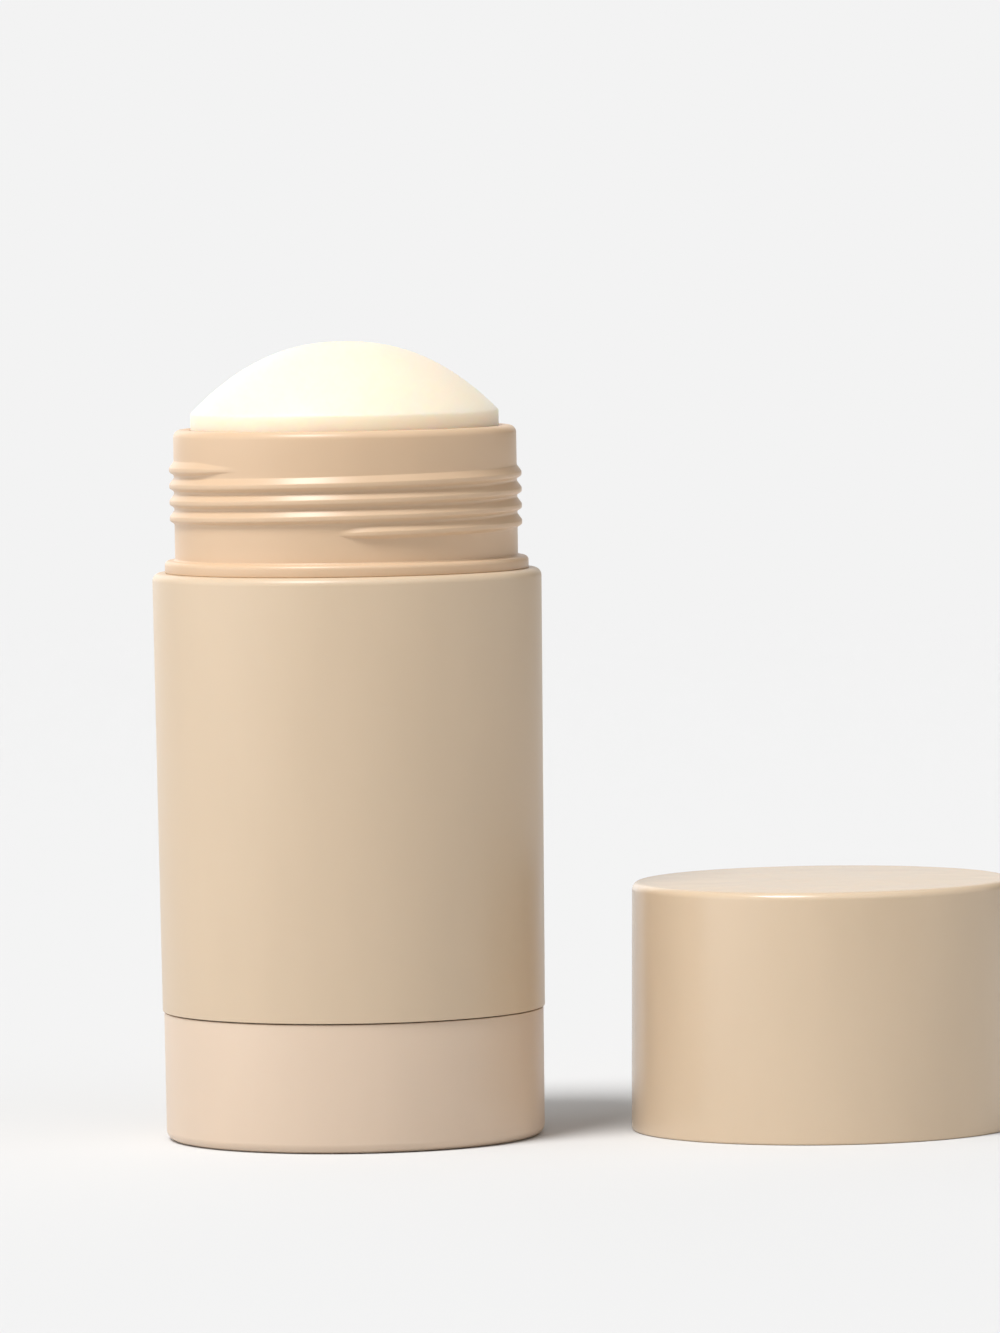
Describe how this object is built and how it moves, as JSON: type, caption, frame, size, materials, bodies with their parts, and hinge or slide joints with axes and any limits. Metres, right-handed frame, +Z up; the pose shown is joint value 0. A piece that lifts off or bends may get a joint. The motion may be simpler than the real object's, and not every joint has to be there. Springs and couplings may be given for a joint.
{
  "type": "deodorant stick",
  "caption": "Round twist-up deodorant stick with a domed product, threaded neck, outer sleeve and base dial, its screw cap standing beside it.",
  "frame": {"origin": "centre of the flat foot ring under the base dial, on the stick's axis", "axes": "+Z up along the stick's axis, +X from the stick towards the cap that stands beside it"},
  "size_m": [0.1115, 0.0504, 0.1031],
  "materials": {
    "sleeve_plastic": "satin moulded polypropylene, warm beige",
    "barrel_plastic": "satin moulded polypropylene, warm beige",
    "dial_plastic": "satin moulded polypropylene, slightly pinker beige",
    "screw_plastic": "natural white acetal",
    "product_wax": "smooth off-white waxy solid",
    "cap_plastic": "semi-gloss moulded polypropylene, warm beige",
    "liner_plastic": "moulded polypropylene, warm beige"
  },
  "bodies": {
    "body": {"outer_sleeve": "sleeve_plastic", "inner_barrel": "barrel_plastic"},
    "dial": {"base_dial": "dial_plastic", "spindle": "screw_plastic"},
    "stick": {"elevator": "screw_plastic", "product_stick": "product_wax"},
    "cap": {"cap_shell": "cap_plastic", "cap_liner": "liner_plastic"}
  },
  "joints": [
    {"name": "dial_turn", "type": "hinge", "parent": "body", "child": "dial", "pos_m": [0, 0, 0], "axis": [0, 0, 1], "range_deg": [-144, 3600]},
    {"name": "stick_slide", "type": "slide", "parent": "body", "child": "stick", "axis": [0, 0, 1], "range_m": [-0.002, 0.05]},
    {"name": "cap_lift", "type": "slide", "parent": "body", "child": "cap", "axis": [0, 0, 1], "range_m": [0, 0.11]}
  ],
  "couplings": [
    {"joint": "dial_turn", "follows": "stick_slide", "rad_per_m": 1256.6}
  ]
}
